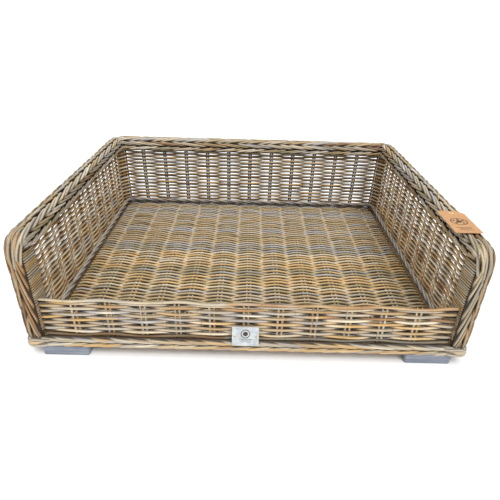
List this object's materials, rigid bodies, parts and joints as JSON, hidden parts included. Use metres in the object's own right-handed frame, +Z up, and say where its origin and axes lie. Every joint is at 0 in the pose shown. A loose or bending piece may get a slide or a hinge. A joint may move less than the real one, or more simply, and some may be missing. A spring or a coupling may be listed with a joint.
{
  "type": "wicker pet bed",
  "caption": "Low open-fronted wicker pet bed: woven floor and walls, rounded plaited rim, wooden base frame on feet, and a card tag on a twine.",
  "frame": {"origin": "middle of the footprint, on the ground under the feet", "axes": "X to the basket's own right as seen from its low front, Y from the front entry to the back wall, Z up"},
  "size_m": [1, 0.83, 0.3073],
  "materials": {
    "rattan": "unlacquered split rattan strands, tan with grey and orange-brown strands among them, satin",
    "rattan_grey": "unlacquered rattan core strands, grey-beige, matt",
    "rattan_pole": "peeled rattan pole, satin",
    "frame_wood": "sawn softwood, unfinished",
    "painted_wood": "blue-grey washed paint on wood, matt",
    "steel": "zinc plated",
    "name_plate": "off-white satin enamel",
    "brass": "polished",
    "kraft_card": "orange kraft card, matt",
    "twine": "twisted jute"
  },
  "bodies": {
    "basket": {"back_pole": "rattan_pole", "back_post_left": "rattan_pole", "back_post_right": "rattan_pole", "base_braid_back": "rattan", "base_braid_front": "rattan", "base_braid_left": "rattan", "base_braid_right": "rattan", "base_rail_back": "frame_wood", "base_rail_front": "frame_wood", "base_rail_left": "frame_wood", "base_rail_right": "frame_wood", "base_slat_1": "frame_wood", "base_slat_2": "frame_wood", "base_slat_3": "frame_wood", "edge_braid_left": "rattan", "edge_braid_right": "rattan", "foot_back_left": "painted_wood", "foot_back_right": "painted_wood", "foot_front_left": "painted_wood", "foot_front_right": "painted_wood", "inner_wale_back": "rattan_grey", "inner_wale_front": "rattan_grey", "inner_wale_left": "rattan_grey", "inner_wale_right": "rattan_grey", "name_plate": "name_plate", "rim_braid_back": "rattan", "rim_braid_left": "rattan", "rim_braid_right": "rattan", "rivet_left": "brass", "rivet_right": "brass", "screw_back_left_1": "steel", "screw_back_left_2": "steel", "screw_back_right_1": "steel", "screw_back_right_2": "steel", "screw_front_left_1": "steel", "screw_front_left_2": "steel", "screw_front_right_1": "steel", "screw_front_right_2": "steel", "side_pole_left": "rattan_pole", "side_pole_right": "rattan_pole", "tag_twine": "twine", "woven_corner_left": "rattan", "woven_corner_right": "rattan", "woven_floor": "rattan_grey", "woven_wall_back": "rattan", "woven_wall_front": "rattan", "woven_wall_left": "rattan", "woven_wall_right": "rattan"},
    "tag": {"hang_tag": "kraft_card", "tag_knot": "twine"}
  },
  "joints": [
    {"name": "tag_lift", "type": "hinge", "parent": "basket", "child": "tag", "pos_m": [0.4675, -0.222, 0.3025], "axis": [-1, 0, 0], "range_deg": [0, 110]}
  ]
}
